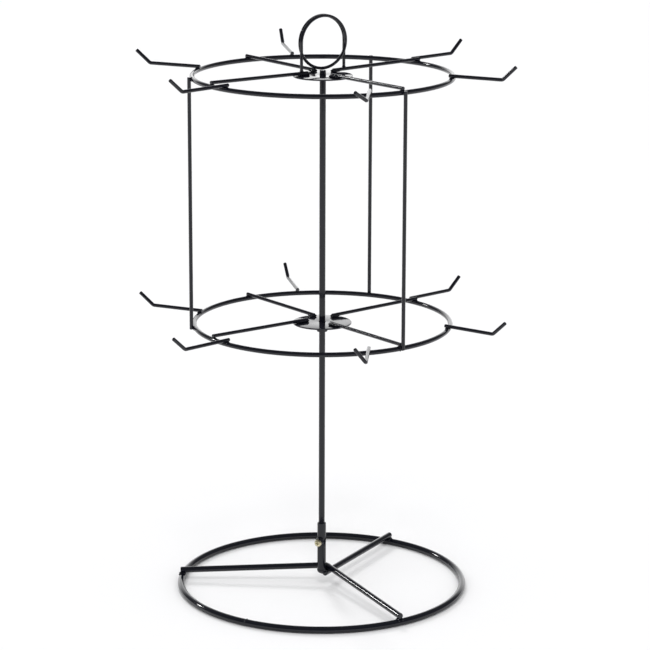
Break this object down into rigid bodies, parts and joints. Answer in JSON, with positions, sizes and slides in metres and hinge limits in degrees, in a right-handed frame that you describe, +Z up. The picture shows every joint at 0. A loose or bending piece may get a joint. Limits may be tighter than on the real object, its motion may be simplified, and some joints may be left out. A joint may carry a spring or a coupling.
{
  "type": "rotating display rack",
  "caption": "Countertop wire rack: a ring base clamps a pole in its socket, and a two-tier frame of hooks with a card clip on top turns on it.",
  "frame": {"origin": "on the table top, on the pole's axis", "axes": "+Z up along the pole, front of the rack towards -Y, +X to the right"},
  "size_m": [0.3801, 0.3868, 0.5955],
  "materials": {
    "black_coat": "gloss black coating, slightly blue, on steel wire, rod and sheet",
    "yellow_zinc": "bright yellow zinc plating",
    "nylon": "natural nylon"
  },
  "bodies": {
    "base": {"base_ring": "black_coat", "base_cross_rod": "black_coat", "base_back_rod": "black_coat", "base_socket": "black_coat", "weld_nut": "black_coat"},
    "lock_screw": {"lock_screw": "yellow_zinc"},
    "pole": {"pole": "black_coat", "stop_collar": "black_coat", "thrust_washer": "nylon"},
    "turning_frame": {"lower_ring": "black_coat", "lower_hub_plate": "black_coat", "lower_spoke_1": "black_coat", "lower_spoke_2": "black_coat", "lower_spoke_3": "black_coat", "lower_spoke_4": "black_coat", "lower_hook_1": "black_coat", "lower_hook_2": "black_coat", "lower_hook_3": "black_coat", "lower_hook_4": "black_coat", "lower_hook_5": "black_coat", "lower_hook_6": "black_coat", "top_ring": "black_coat", "top_hub_plate": "black_coat", "top_spoke_1": "black_coat", "top_spoke_2": "black_coat", "top_spoke_3": "black_coat", "top_spoke_4": "black_coat", "top_hook_1": "black_coat", "top_hook_2": "black_coat", "top_hook_3": "black_coat", "top_hook_4": "black_coat", "top_hook_5": "black_coat", "top_hook_6": "black_coat", "upright_1": "black_coat", "upright_2": "black_coat", "upright_3": "black_coat", "sign_clip": "black_coat"}
  },
  "joints": [
    {"name": "pole_lift", "type": "slide", "parent": "base", "child": "pole", "axis": [0, 0, 1], "range_m": [0, 0.05]},
    {"name": "frame_spin", "type": "hinge", "parent": "pole", "child": "turning_frame", "pos_m": [0, 0, 0.2818], "axis": [0, 0, 1], "continuous": true},
    {"name": "screw_travel", "type": "slide", "parent": "base", "child": "lock_screw", "axis": [-0.3746, -0.9272, 0], "range_m": [0, 0.004]}
  ]
}
